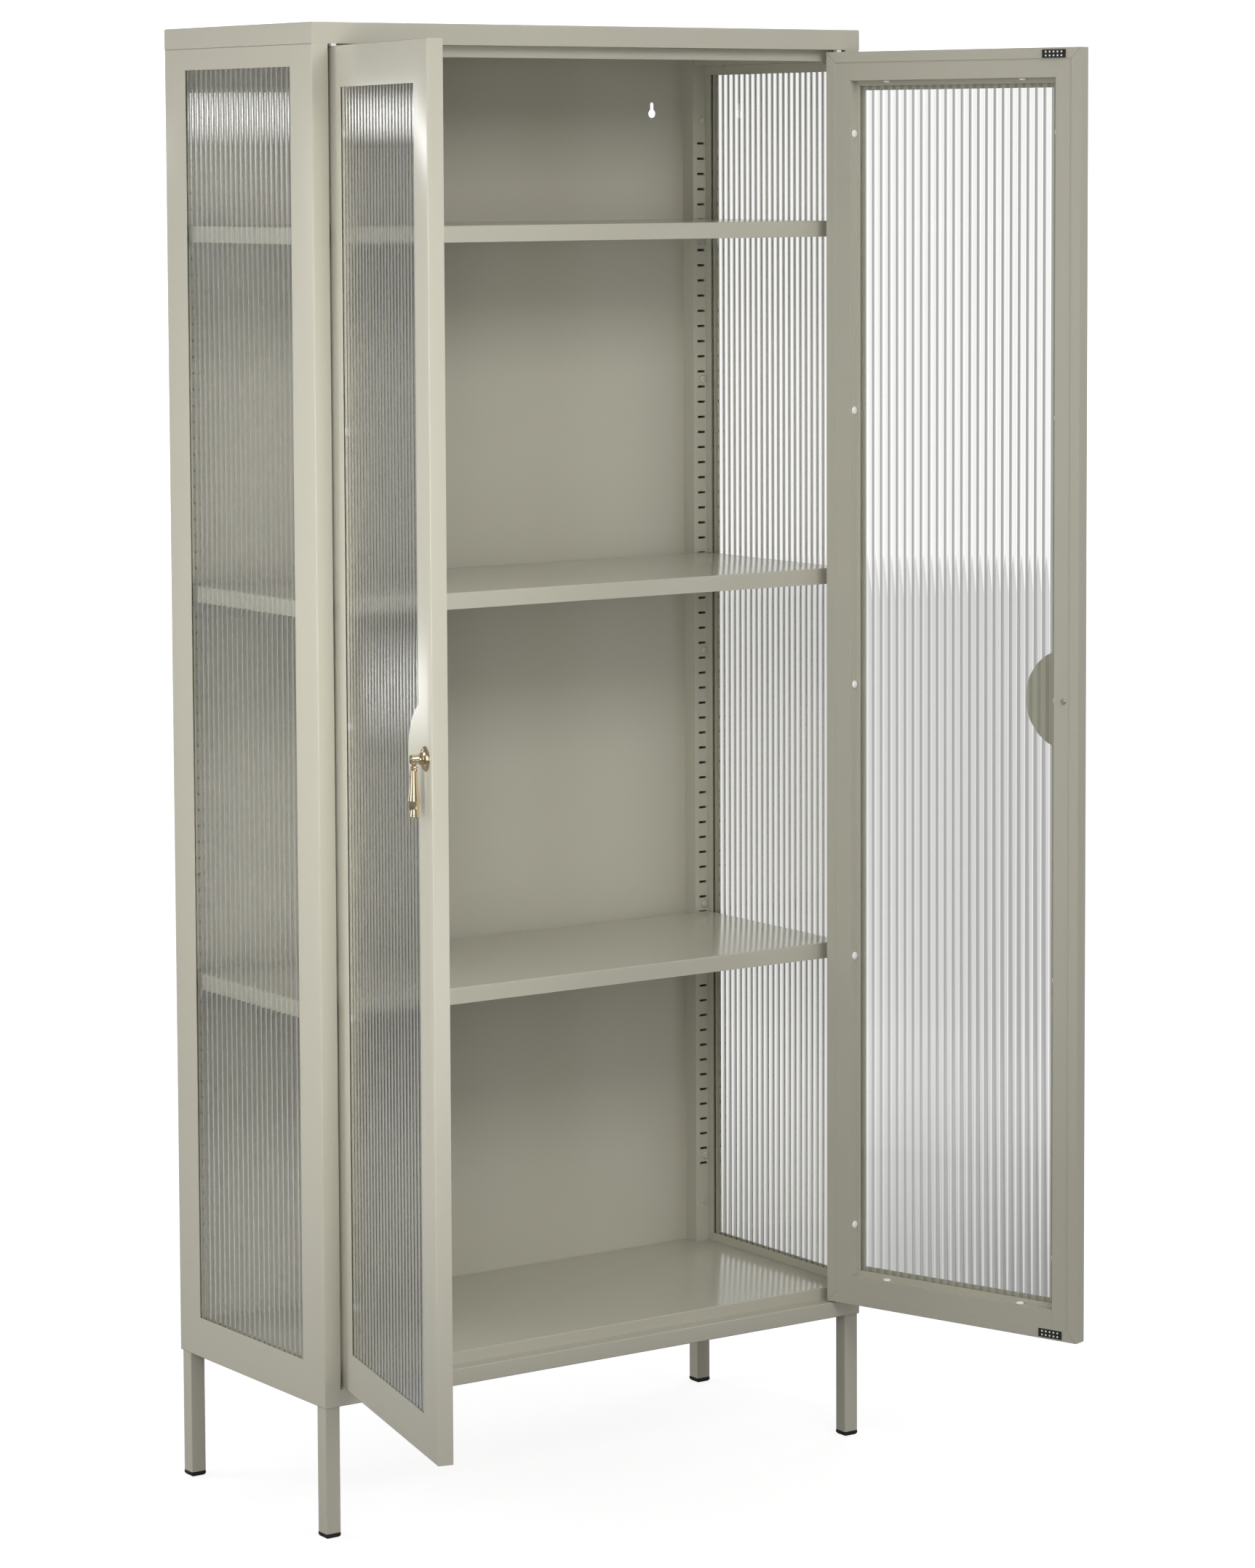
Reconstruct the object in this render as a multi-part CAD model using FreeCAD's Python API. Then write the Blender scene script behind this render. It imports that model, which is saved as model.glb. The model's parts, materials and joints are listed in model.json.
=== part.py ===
import FreeCAD, Part
import math
import os

# Display cabinet of folded sheet steel with ribbed glass doors and sides, on four square legs.
# Millimetres, +Z up, doors facing -Y. The origin is the centre of the footprint on the floor.

# Overall
cabinet_width = 800.0
cabinet_depth = 350.0
cabinet_height = 1800.0
sheet = 1.0
bend_inside = 0.5
fastener_sides = 8
turning_sides = 20

# Legs
leg_size = 20.0
leg_wall = 1.5
leg_corner = 1.6
leg_inset = 2.0
leg_length = 153.0
leg_plate = 5.0
glide_height = 6.0
glide_plug_length = 14.0
glide_plug_gap = 0.2
glide_edge = 2.0
leg_bolt_diameter = 6.0
leg_bolt_reach = 9.0
leg_bolt_head_width = 10.0
leg_bolt_head_height = 4.0
leg_bolt_thread_gap = 0.05
leg_bolt_hole_gap = 0.5

# Top panel
skirt_height = 25.0
skirt_return = 22.0

# Side frames and uprights
post_width = 22.0
post_depth = 20.5
rear_post_width = 25.5
rear_post_depth = 25.0
side_stile = 50.0
side_bottom_band = 50.0
side_top_band = 26.0
slot_width = 11.4
slot_height = 3.0
slot_pitch = 20.0
slot_inset = 13.4
slot_first = 141.0
slot_top_margin = 114.0
upright_screw_inset = 12.0
upright_screw_height = 89.0
upright_screw_diameter = 4.0
upright_screw_head = 9.0
upright_screw_head_height = 2.25
upright_screw_length = 8.0
upright_screw_gap = 0.1

# Base, floor and top stop
base_rail_height = 20.5
floor_rise = 35.5
floor_lip = 17.5
floor_notch_gap = 0.3
stop_height = 14.0
stop_flange = 20.0
stop_end_gap = 0.3

# Back panel keyholes
keyhole_spacing = 650.0
keyhole_drop = 76.0
keyhole_diameter = 11.0
keyhole_slot_width = 5.0
keyhole_slot_rise = 12.0

# Shelves and their clips
shelf_lip = 20.0
shelf_return = 12.0
shelf_post_gap = 3.5
shelf_side_gap = 7.0
lower_shelf_slot = 16
middle_shelf_step = 24
upper_shelf_from_top = 6
shelf_clip_plate = 1.2
shelf_clip_tab = 2.0
shelf_clip_ledge = 12.0
shelf_clip_drop = 12.0
shelf_clip_hook = 4.0
shelf_clip_side_gap = 0.4

# Ribbed glass
glass_base = 2.6
rib_height = 0.8
rib_pitch = 12.0
glass_face_gap = 0.2
glass_edge_gap = 1.2

# Glazing beads and clips
bead_sheet = 0.8
bead_glass_gap = 0.2
mitre_gap = 0.15
door_bead_lap = 6.5
door_bead_reveal = 2.0
side_bead_lap = 11.5
clip_diameter = 10.0
clip_height = 2.4
clip_gap = 0.3
button_crown = 0.7
door_stile_clips = 5
door_stile_clip_offset = 66.0
door_rail_clip_offset = 51.0
side_rail_clip_offset = 42.0

# Doors
door_side_gap = 2.0
door_middle_gap = 3.0
door_top_gap = 3.0
door_bottom_gap = 2.0
door_swing_gap = 0.2
door_window_margin = 48.0
door_return = 13.0
door_return_slit = 0.3
door_recess_margin = 36.0
half_disc_radius = 62.5
half_disc_inset = 24.0
left_door_open = 104.3
right_door_open = 107.7
magnet_length = 33.0
magnet_width = 10.0
magnet_free_offset = 21.0
magnet_edge_offset = 2.5
magnet_air_gap = 0.3

# Door pivots
pivot_inset = 7.0
pivot_setback = 4.0
pin_diameter = 3.0
pin_head_size = 5.0
pin_head_height = 2.0
pin_hole_gap = 0.03
pin_past_bush = 0.5
bush_running_gap = 0.05
bush_wall = 0.8
bush_seat_gap = 0.03
bush_collar_lap = 0.8
bush_door_gap = 0.3
bush_past_sheet = 2.0

# Pulls
pull_inset = 22.0
rosette_diameter = 29.0
rosette_rim = 1.2
rosette_crown = 4.6
rosette_shoulder_diameter = 18.0
rosette_bulge = 0.7
stem_end_bevel = 0.8
stem_diameter = 11.0
stem_flare_top = 9.0
stem_reach = 18.0
drop_axis_reach = 14.0
drop_pin_diameter = 2.0
drop_pin_running_gap = 0.05
drop_pin_seat_gap = 0.02
tang_thickness = 3.0
tang_side_gap = 0.2
tang_eye_radius = 3.2
tang_eye_gap = 0.5
tang_neck = 4.0
drop_bead_top = 7.8
drop_bead_height = 3.0
drop_bead_diameter = 8.5
drop_shoulder_diameter = 7.7
drop_belly_diameter = 13.5
drop_belly_depth = 46.0
drop_waist_diameter = 10.9
drop_waist_depth = 55.0
drop_foot_diameter = 13.3
drop_length = 64.0
drop_foot_band = 1.2
drop_round = 1.1
drop_hollow = 0.3
pull_screw_diameter = 4.0
pull_screw_head = 8.0
pull_screw_head_height = 2.4
pull_screw_depth = 8.0
pull_thread_past = 0.5
pull_screw_hole_gap = 0.2
pull_screw_thread_gap = 0.05

# Levels and faces worked out from the sizes above
front = -cabinet_depth / 2
back = cabinet_depth / 2
side = cabinet_width / 2
base = glide_height + leg_length
cap = cabinet_height - skirt_height
stop_face = front + post_depth
rear_face = back - rear_post_depth
floor_top = base + floor_rise
stop_bottom = cap - stop_height
back_sheet_front = back - 2 * sheet
opening_side = side - post_width
leg_centre_x = -side + leg_inset + leg_size / 2
leg_centres = [front + leg_inset + leg_size / 2, back - leg_inset - leg_size / 2]
slot_x = side - slot_inset
slot_start = base + slot_first
slot_count = int((cap - slot_top_margin - slot_start) / slot_pitch) + 1
shelf_slots = {
    "shelf_lower": lower_shelf_slot,
    "shelf_middle": lower_shelf_slot + middle_shelf_step,
    "shelf_upper": slot_count - 1 - upper_shelf_from_top,
}

# the inner corner of the hinge edge clears the stop by the swing gap as the door turns
swing_radius = post_depth - pivot_setback - door_swing_gap
door_thickness = pivot_setback + math.sqrt(swing_radius**2 - pivot_inset**2)
door_back = front + door_thickness
door_bottom = base + base_rail_height + door_bottom_gap
door_top = cap - door_top_gap
door_hinge_edge = -opening_side + door_side_gap
door_free_edge = -door_middle_gap / 2
door_middle = (door_bottom + door_top) / 2
inner_face = door_back - sheet
pivot_x = door_hinge_edge + pivot_inset
pivot_y = front + pivot_setback
bush_bore = pin_diameter + 2 * bush_running_gap
bush_shank = bush_bore + 2 * bush_wall
pull_x = door_free_edge - pull_inset
drop_axis_y = front - drop_axis_reach

glass_thickness = glass_base + rib_height
bend_outside = bend_inside + sheet
corner = sheet + bend_inside
upright_rise = (base + corner, cap - corner)
stile_rise = (door_bottom + corner, door_top - corner)

Vector = FreeCAD.Vector
AXIS_X = Vector(1, 0, 0)
AXIS_Y = Vector(0, 1, 0)
AXIS_Z = Vector(0, 0, 1)
ORIGIN = Vector(0, 0, 0)


def block(x, y, z):
    """Box between two limits on each axis."""
    return Part.makeBox(x[1] - x[0], y[1] - y[0], z[1] - z[0], Vector(x[0], y[0], z[0]))


def rod(diameter, start, axis, length):
    return Part.makeCylinder(diameter / 2, length, start, axis)


def corners(radius, z, sides):
    """Corners of a many-sided ring about the Z axis."""
    turns = [2 * math.pi * index / sides for index in range(sides)]
    return [Vector(radius * math.cos(turn), radius * math.sin(turn), z) for turn in turns]


def flat(points):
    """Flat face with the given corners."""
    return Part.Face(Part.makePolygon(points + points[:1]))


def ringed(outline, sides):
    """Solid of flat faces through many-sided rings of (radius, height), from the bottom to the top."""
    rings = [corners(radius, height, sides) for radius, height in outline]
    faces = [flat(rings[0]), flat(rings[-1])]
    for low, high in zip(rings, rings[1:]):
        for index in range(sides):
            faces.append(flat([low[index - 1], low[index], high[index], high[index - 1]]))
    solid = Part.makeSolid(Part.makeShell(faces))
    if solid.Volume < 0:
        solid.reverse()
    return solid


def shank(diameter, start, axis, length):
    """Many-sided rod for a fastener, inside its round diameter: few faces, because it repeats."""
    prism = flat(corners(diameter / 2, 0, fastener_sides)).extrude(Vector(0, 0, length))
    return pointed(prism, axis, start)


def drilled(diameter, start, axis, length):
    """Many-sided hole for a fastener, outside its round diameter."""
    return shank(diameter / math.cos(math.pi / fastener_sides), start, axis, length)


def fused(*pieces):
    """One solid from pieces that share faces or volume."""
    whole = pieces[0].multiFuse(list(pieces[1:])).removeSplitter()
    if len(whole.Solids) != 1:
        raise ValueError("pieces do not join into one solid")
    return whole.Solids[0]


def mirrored(shape):
    """The same piece on the other side of the cabinet."""
    return shape.mirror(ORIGIN, AXIS_X)


def group(solids):
    return Part.makeCompound(solids)


def polygon_prism(points, push):
    """Flat outline given as vectors, pushed along a vector."""
    return flat(points).extrude(push)


def folded_pan(width, height, depth, flange=0.0):
    """Sheet pan: face on z = 0, four walls standing along +z, optional inward flange on the walls."""
    solid = block((0, width), (0, height), (0, depth))
    bends = [edge for edge in solid.Edges if all(abs(v.Z) < 1e-6 for v in edge.Vertexes)]
    outside = solid.makeFillet(bend_outside, bends)
    deep = depth - sheet if flange else depth + sheet
    pan = outside.cut(block((sheet, width - sheet), (sheet, height - sheet), (sheet, deep)))
    if flange:
        reach = sheet + flange
        mouth = block((reach, width - reach), (reach, height - reach), (sheet + bend_inside, depth + sheet))
        pan = pan.cut(mouth)
    return pan


def facing_front(pan, left, top, face):
    """Stand a pan up with its face to -Y."""
    return pan.rotated(ORIGIN, AXIS_X, -90).translated(Vector(left, face, top))


def facing_up(pan, left, rear, face):
    """Turn a pan over so that its face looks up."""
    return pan.rotated(ORIGIN, AXIS_X, 180).translated(Vector(left, rear, face))


def ribbed_pane(width, height):
    """Pane on y = 0 with ribs on its -Y face: a row of shallow arcs carried upwards."""
    ribs = int(width / rib_pitch)
    margin = (width - ribs * rib_pitch) / 2
    edges = []
    valley = rib_height
    for index in range(ribs):
        start = margin + index * rib_pitch
        first = Vector(start, valley, 0)
        crest = Vector(start + rib_pitch / 2, 0, 0)
        last = Vector(start + rib_pitch, valley, 0)
        edges.append(Part.Arc(first, crest, last).toShape())
    outline = [
        Vector(margin + ribs * rib_pitch, valley, 0),
        Vector(width, valley, 0),
        Vector(width, glass_thickness, 0),
        Vector(0, glass_thickness, 0),
        Vector(0, valley, 0),
        Vector(margin, valley, 0),
    ]
    for first, last in zip(outline[:-1], outline[1:]):
        if (last - first).Length > 1e-6:
            edges.append(Part.LineSegment(first, last).toShape())
    return Part.Face(Part.Wire(Part.__sortEdges__(edges))).extrude(Vector(0, 0, height))


def mitred_beads(width, height, lap, flat, wall):
    """Four angle strips round an opening in XZ: a lap over the glass and a leg on the wall.

    flat and wall are the two depth ranges along +Y.
    """
    centre = Vector(width / 2, 0, height / 2)

    def strip(length, across, outer, inner, depth):
        ends = (outer + mitre_gap, inner + mitre_gap)
        points = [
            Vector(-length / 2 + ends[0], depth[0], -across / 2 + outer),
            Vector(length / 2 - ends[0], depth[0], -across / 2 + outer),
            Vector(length / 2 - ends[1], depth[0], -across / 2 + inner),
            Vector(-length / 2 + ends[1], depth[0], -across / 2 + inner),
        ]
        return polygon_prism(points, Vector(0, depth[1] - depth[0], 0))

    beads = []
    for turn in range(4):
        length, across = (width, height) if turn % 2 == 0 else (height, width)
        angle = fused(strip(length, across, 0, lap, flat), strip(length, across, 0, bead_sheet, wall))
        beads.append(angle.rotated(ORIGIN, AXIS_Y, 90 * turn).translated(centre))
    return beads


def turned(outline):
    """Turned piece about +Z, from (radius, height) pairs."""
    return ringed(outline, turning_sides)


def button(diameter, height):
    """Low head or clip on z = 0, narrowing to its crown."""
    return ringed([(diameter / 2, 0), (button_crown * diameter / 2, height)], fastener_sides)


def pointed(shape, direction, place):
    """Turn a shape built along +Z so that it points along a direction, and put it in place."""
    turn = FreeCAD.Rotation(AXIS_Z, direction)
    moved = shape.copy()
    moved.Placement = FreeCAD.Placement(place, turn)
    return moved


# Carcass pieces

def side_frame():
    """Left side panel: a pan with a tall window; its front wall is the face of the front post."""
    height = cap - base
    pan = folded_pan(cabinet_depth, height, post_width)
    window = block(
        (side_stile, cabinet_depth - side_stile),
        (side_top_band, height - side_bottom_band),
        (-sheet, 2 * sheet),
    )
    stood = facing_front(pan.cut(window), -back, cap, -side)
    frame = stood.rotated(ORIGIN, AXIS_Z, -90)
    return frame.cut(group([leg_bolt_hole(y) for y in leg_centres]))


def leg_bolt_hole(y):
    width = leg_bolt_diameter + 2 * leg_bolt_hole_gap
    return drilled(width, Vector(leg_centre_x, y, base - sheet), AXIS_Z, 3 * sheet)


def slot_height_at(index):
    return slot_start + index * slot_pitch


def punched(upright, face_y):
    """Shelf slots and the screw hole through the slotted face of an upright."""
    cuts = []
    for index in range(slot_count):
        middle = slot_height_at(index)
        cuts.append(block(
            (-slot_x - slot_width / 2, -slot_x + slot_width / 2),
            (face_y - 2 * sheet, face_y + 2 * sheet),
            (middle - slot_height / 2, middle + slot_height / 2),
        ))
    hole = upright_screw_diameter + 2 * upright_screw_gap
    start = Vector(-side + upright_screw_inset, face_y - 2 * sheet, base + upright_screw_height)
    cuts.append(drilled(hole, start, AXIS_Y, 4 * sheet))
    return upright.cut(group(cuts))


def front_upright():
    """Left front angle: the jamb beside the door and the slotted face behind it."""
    jamb = block((-opening_side - sheet, -opening_side), (front + sheet, stop_face), upright_rise)
    face = block((-side + sheet, -opening_side), (stop_face - sheet, stop_face), upright_rise)
    return punched(fused(jamb, face), stop_face)


def rear_upright():
    """Left rear angle: the slotted face towards the door and a leg back to the back panel."""
    inner = -side + rear_post_width
    face = block((-side + sheet, inner), (rear_face, rear_face + sheet), upright_rise)
    rear_wall = block((inner - sheet, inner), (rear_face, back_sheet_front), upright_rise)
    return punched(fused(face, rear_wall), rear_face)


def upright_screw(face_y, outward):
    """Screw in an upright's face, below its slots."""
    below = Vector(0, 0, -upright_screw_length)
    body = shank(upright_screw_diameter, below, AXIS_Z, upright_screw_length)
    head = button(upright_screw_head, upright_screw_head_height)
    place = Vector(-side + upright_screw_inset, face_y, base + upright_screw_height)
    return pointed(fused(head, body), outward, place)


def back_panel():
    panel = block((-side + corner, side - corner), (back_sheet_front, back - sheet), upright_rise)
    cuts = []
    for x in (-keyhole_spacing / 2, keyhole_spacing / 2):
        z = cap - keyhole_drop
        through = Vector(x, back_sheet_front - sheet, z)
        cuts.append(rod(keyhole_diameter, through, AXIS_Y, 3 * sheet))
        cuts.append(rod(keyhole_slot_width, through + Vector(0, 0, keyhole_slot_rise), AXIS_Y, 3 * sheet))
        cuts.append(block(
            (x - keyhole_slot_width / 2, x + keyhole_slot_width / 2),
            (through.y, through.y + 3 * sheet),
            (z, z + keyhole_slot_rise),
        ))
    return panel.cut(group(cuts))


def bottom_panel():
    """Floor tray, notched round the rear uprights."""
    width = cabinet_width - 2 * sheet
    depth = back_sheet_front - stop_face
    tray = facing_up(folded_pan(width, depth, floor_lip), -width / 2, back_sheet_front, floor_top)
    inner = side - rear_post_width - floor_notch_gap
    notch = block(
        (inner, side),
        (rear_face - floor_notch_gap, back),
        (floor_top - 2 * floor_lip, floor_top + sheet),
    )
    return tray.cut(group([notch, mirrored(notch)]))


def base_front_rail():
    """Channel below the doors, open to the back, drilled for the lower door bushes."""
    span = (-opening_side, opening_side)
    solid = block(span, (front, stop_face), (base, base + base_rail_height))
    at_front = [e for e in solid.Edges if all(abs(v.Y - front) < 1e-6 for v in e.Vertexes)]
    bends = [e for e in at_front if e.Length > base_rail_height]
    hollow = block(span, (front + sheet, stop_face + sheet), (base + sheet, base + base_rail_height - sheet))
    rail = solid.makeFillet(bend_outside, bends).cut(hollow)
    return rail.cut(group([bush_hole(-1, base + base_rail_height), bush_hole(1, base + base_rail_height)]))


def square_bar(size, x, z):
    """Square bar on a door's pivot line."""
    half = size / 2
    return block((x - half, x + half), (pivot_y - half, pivot_y + half), z)


def bush_hole(hand, z):
    return square_bar(bush_shank + 2 * bush_seat_gap, -hand * pivot_x, (z - 2 * sheet, z + sheet))


def top_panel():
    """Cap with a skirt; its inward return rests on the side frames and holds the upper bushes."""
    pan = folded_pan(cabinet_width, cabinet_depth, skirt_height, skirt_return - sheet)
    placed = facing_up(pan, -side, back, cabinet_height)
    return placed.cut(group([bush_hole(-1, cap + sheet), bush_hole(1, cap + sheet)]))


def top_front_rail():
    """Stop angle behind the tops of the doors."""
    end = side - sheet
    inner = opening_side - stop_end_gap
    face = block((-end, end), (stop_face, stop_face + sheet), (stop_bottom, cap - corner))
    middle = block((-inner, inner), (stop_face, stop_face + sheet), (stop_bottom, cap))
    flange = block((-inner, inner), (stop_face, stop_face + stop_flange), (cap - sheet, cap))
    return fused(face, middle, flange)


def side_top_rail():
    """Left angle above the side glass."""
    along = (stop_face + sheet, rear_face)
    sole = block((-side + sheet, -opening_side), along, (stop_bottom, stop_bottom + sheet))
    wall = block((-opening_side - sheet, -opening_side), along, (stop_bottom, cap - sheet))
    return fused(sole, wall)


def leg(y):
    """Square tube with a threaded plate in its top."""
    half = leg_size / 2
    x = (leg_centre_x - half, leg_centre_x + half)
    solid = block(x, (y - half, y + half), (glide_height, base))
    upright_edges = [e for e in solid.Edges if abs(e.Length - leg_length) < 1e-6]
    tube = solid.makeFillet(leg_corner, upright_edges)
    inner = half - leg_wall
    hollow = block(
        (leg_centre_x - inner, leg_centre_x + inner),
        (y - inner, y + inner),
        (glide_height - sheet, base - leg_plate),
    )
    thread_width = leg_bolt_diameter + 2 * leg_bolt_thread_gap
    thread = drilled(thread_width, Vector(leg_centre_x, y, glide_height), AXIS_Z, leg_length)
    return tube.cut(hollow).cut(thread)


def glide(y):
    """Plastic foot: a bevelled head below the tube and a plug inside it."""
    half = leg_size / 2
    head = block((leg_centre_x - half, leg_centre_x + half), (y - half, y + half), (0, glide_height))
    soft = [e for e in head.Edges if all(v.Z < 1e-6 for v in e.Vertexes)]
    inner = half - leg_wall - glide_plug_gap
    plug = block(
        (leg_centre_x - inner, leg_centre_x + inner),
        (y - inner, y + inner),
        (glide_height, glide_height + glide_plug_length),
    )
    return fused(head.makeChamfer(glide_edge, soft), plug)


def leg_bolt(y):
    """Hexagon bolt from the side frame's bottom return down into the leg's plate."""
    radius = leg_bolt_head_width / math.sqrt(3)
    corners = [60 * index for index in range(6)]
    seat = base + sheet
    points = [
        Vector(
            leg_centre_x + radius * math.cos(math.radians(turn)),
            y + radius * math.sin(math.radians(turn)),
            seat,
        )
        for turn in corners
    ]
    head = polygon_prism(points, Vector(0, 0, leg_bolt_head_height))
    below = Vector(leg_centre_x, y, seat - leg_bolt_reach)
    return fused(head, shank(leg_bolt_diameter, below, AXIS_Z, leg_bolt_reach))


# Side glazing: the pane lies behind the window, inside angles that stand on the side sheet

side_recess_width = rear_face - stop_face
side_recess_height = stop_bottom - floor_top
side_bead_depth = glass_face_gap + glass_thickness + bead_glass_gap + bead_sheet
side_bead_face = -side + sheet + side_bead_depth


def on_left_side(shape):
    """Move a piece built in the door's sense (outside to -Y) onto the left side sheet."""
    turned_piece = shape.rotated(ORIGIN, AXIS_Z, -90)
    return turned_piece.translated(Vector(-side + sheet, rear_face, floor_top))


def side_glass():
    inset = bead_sheet + glass_edge_gap
    pane = ribbed_pane(side_recess_width - 2 * inset, side_recess_height - 2 * inset)
    return on_left_side(pane.translated(Vector(inset, glass_face_gap, inset)))


def side_beads():
    lap = (side_bead_depth - bead_sheet, side_bead_depth)
    beads = mitred_beads(side_recess_width, side_recess_height, side_bead_lap, lap, (0, side_bead_depth))
    return group([on_left_side(bead) for bead in beads])


def side_clips():
    """Round clips beside the angles: between slots on both uprights, and two under the top rail.

    A clip moves up past a slot whose shelf hook would cover it.
    """
    clip = button(clip_diameter, clip_height)
    x = side_bead_face + clip_diameter / 2 + clip_gap
    clips = []
    for index in range(door_stile_clips):
        gap_index = round(index * slot_count / (door_stile_clips - 1))
        if gap_index + 1 in shelf_slots.values():
            gap_index += 1
        z = slot_height_at(gap_index + 0.5)
        clips.append(pointed(clip, AXIS_Y, Vector(x, stop_face, z)))
        clips.append(pointed(clip, -AXIS_Y, Vector(x, rear_face, z)))
    for y in (stop_face + side_rail_clip_offset, rear_face - side_rail_clip_offset):
        clips.append(pointed(clip, -AXIS_Z, Vector(x, y, stop_bottom)))
    return clips


# Shelves

def shelf(slot):
    """Folded tray whose lips stand on the clips."""
    width = cabinet_width - 2 * shelf_side_gap
    ends = (stop_face + shelf_post_gap, rear_face - shelf_post_gap)
    pan = folded_pan(width, ends[1] - ends[0], shelf_lip, shelf_return)
    top = slot_height_at(slot) + shelf_clip_tab / 2 + shelf_lip
    return facing_up(pan, -width / 2, ends[1], top)


def shelf_clip(slot, face_y, inward):
    """Bent hook: a tab through the slot, a ledge under the shelf and a plate down the upright."""
    half = slot_width / 2 - shelf_clip_side_gap
    x = (-slot_x - half, -slot_x + half)
    middle = slot_height_at(slot)
    top = middle + shelf_clip_tab / 2
    low = middle - shelf_clip_tab / 2

    def along(start, end):
        return tuple(sorted((face_y + inward * start, face_y + inward * end)))

    ledge = block(x, along(-shelf_clip_hook, shelf_clip_ledge), (low, top))
    plate = block(x, along(0, shelf_clip_plate), (low - shelf_clip_drop, top))
    hook = block(x, along(-shelf_clip_hook, -sheet - shelf_clip_side_gap), (low - slot_height, top))
    return fused(ledge, plate, hook)


# Left door, built closed

recess_left = door_hinge_edge + door_recess_margin
recess_right = door_free_edge - door_recess_margin
recess_bottom = door_bottom + door_recess_margin
recess_top = door_top - door_recess_margin
glass_front = front + sheet + glass_face_gap
bead_front = glass_front + glass_thickness + bead_glass_gap
bead_wall_end = inner_face - door_bead_reveal


def door_skin():
    """Folded pan with the window, the half-disc that carries the pull, and slit return corners."""
    width = door_free_edge - door_hinge_edge
    pan = folded_pan(width, door_top - door_bottom, door_thickness, door_return - sheet)
    skin = facing_front(pan, door_hinge_edge, door_top, front)
    through = (front - sheet, front + 2 * sheet)
    window = block(
        (door_hinge_edge + door_window_margin, door_free_edge - door_window_margin),
        through,
        (door_bottom + door_window_margin, door_top - door_window_margin),
    )
    disc_centre = Vector(door_free_edge - half_disc_inset, front - 2 * sheet, door_middle)
    disc = rod(2 * half_disc_radius, disc_centre, AXIS_Y, 5 * sheet)
    cuts = [window.cut(disc), pull_screw_hole(front)]
    for x, z, turn in (
        (door_hinge_edge, door_bottom, -45),
        (door_free_edge, door_bottom, -135),
        (door_free_edge, door_top, 135),
        (door_hinge_edge, door_top, 45),
    ):
        slit = block(
            (bend_outside, 2 * door_return),
            (inner_face - sheet / 2, door_back + sheet),
            (-door_return_slit / 2, door_return_slit / 2),
        )
        cuts.append(slit.rotated(ORIGIN, AXIS_Y, turn).translated(Vector(x, 0, z)))
    pin_hole = pin_diameter + 2 * pin_hole_gap
    for z in (door_bottom, door_top):
        cuts.append(drilled(pin_hole, Vector(pivot_x, pivot_y, z - 2 * sheet), AXIS_Z, 4 * sheet))
    return skin.cut(group(cuts))


def pull_screw_hole(y):
    width = pull_screw_diameter + 2 * pull_screw_hole_gap
    return drilled(width, Vector(pull_x, y - 2 * sheet, door_middle), AXIS_Y, 4 * sheet)


def hinge_stile():
    """Angle behind the skin's return: a face towards the cabinet and the recess wall."""
    face = block((door_hinge_edge + sheet, recess_left), (inner_face - sheet, inner_face), stile_rise)
    wall = block((recess_left - sheet, recess_left), (front + sheet, inner_face), stile_rise)
    return fused(face, wall)


def free_stile():
    face = block((recess_right, door_free_edge - sheet), (inner_face - sheet, inner_face), stile_rise)
    wall = block((recess_right, recess_right + sheet), (front + sheet, inner_face), stile_rise)
    return fused(face, wall).cut(pull_screw_hole(inner_face))


def top_rail():
    span = (recess_left, recess_right)
    face = block(span, (inner_face - sheet, inner_face), (recess_top, door_top - sheet))
    wall = block(span, (front + sheet, inner_face), (recess_top, recess_top + sheet))
    return fused(face, wall)


def bottom_rail():
    span = (recess_left, recess_right)
    face = block(span, (inner_face - sheet, inner_face), (door_bottom + sheet, recess_bottom))
    wall = block(span, (front + sheet, inner_face), (recess_bottom - sheet, recess_bottom))
    return fused(face, wall)


def door_glass():
    width = recess_right - recess_left - 2 * glass_edge_gap
    height = recess_top - recess_bottom - 2 * glass_edge_gap
    place = Vector(recess_left + glass_edge_gap, glass_front, recess_bottom + glass_edge_gap)
    return ribbed_pane(width, height).translated(place)


def door_beads():
    flat = (bead_front, bead_front + bead_sheet)
    beads = mitred_beads(
        recess_right - recess_left,
        recess_top - recess_bottom,
        door_bead_lap,
        flat,
        (bead_front, bead_wall_end),
    )
    return group([bead.translated(Vector(recess_left, 0, recess_bottom)) for bead in beads])


def door_clips():
    """Round clips on the bead walls: a row up each stile and a pair on each rail."""
    clip = button(clip_diameter, clip_height)
    y = bead_front + bead_sheet + clip_gap + clip_diameter / 2
    low = recess_bottom + door_stile_clip_offset
    high = recess_top - door_stile_clip_offset
    clips = []
    for index in range(door_stile_clips):
        z = low + index * (high - low) / (door_stile_clips - 1)
        clips.append(pointed(clip, AXIS_X, Vector(recess_left + bead_sheet, y, z)))
        clips.append(pointed(clip, -AXIS_X, Vector(recess_right - bead_sheet, y, z)))
    for x in (recess_left + door_rail_clip_offset, recess_right - door_rail_clip_offset):
        clips.append(pointed(clip, AXIS_Z, Vector(x, y, recess_bottom + bead_sheet)))
        clips.append(pointed(clip, -AXIS_Z, Vector(x, y, recess_top - bead_sheet)))
    return group(clips)


def door_magnets():
    """Catch plates on the return, at the top and bottom of the free edge."""
    right = door_free_edge - magnet_free_offset
    x = (right - magnet_length, right)
    y = (door_back, stop_face - magnet_air_gap)
    low = door_bottom + magnet_edge_offset
    high = door_top - magnet_edge_offset
    return group([block(x, y, (low, low + magnet_width)), block(x, y, (high - magnet_width, high))])


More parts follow.
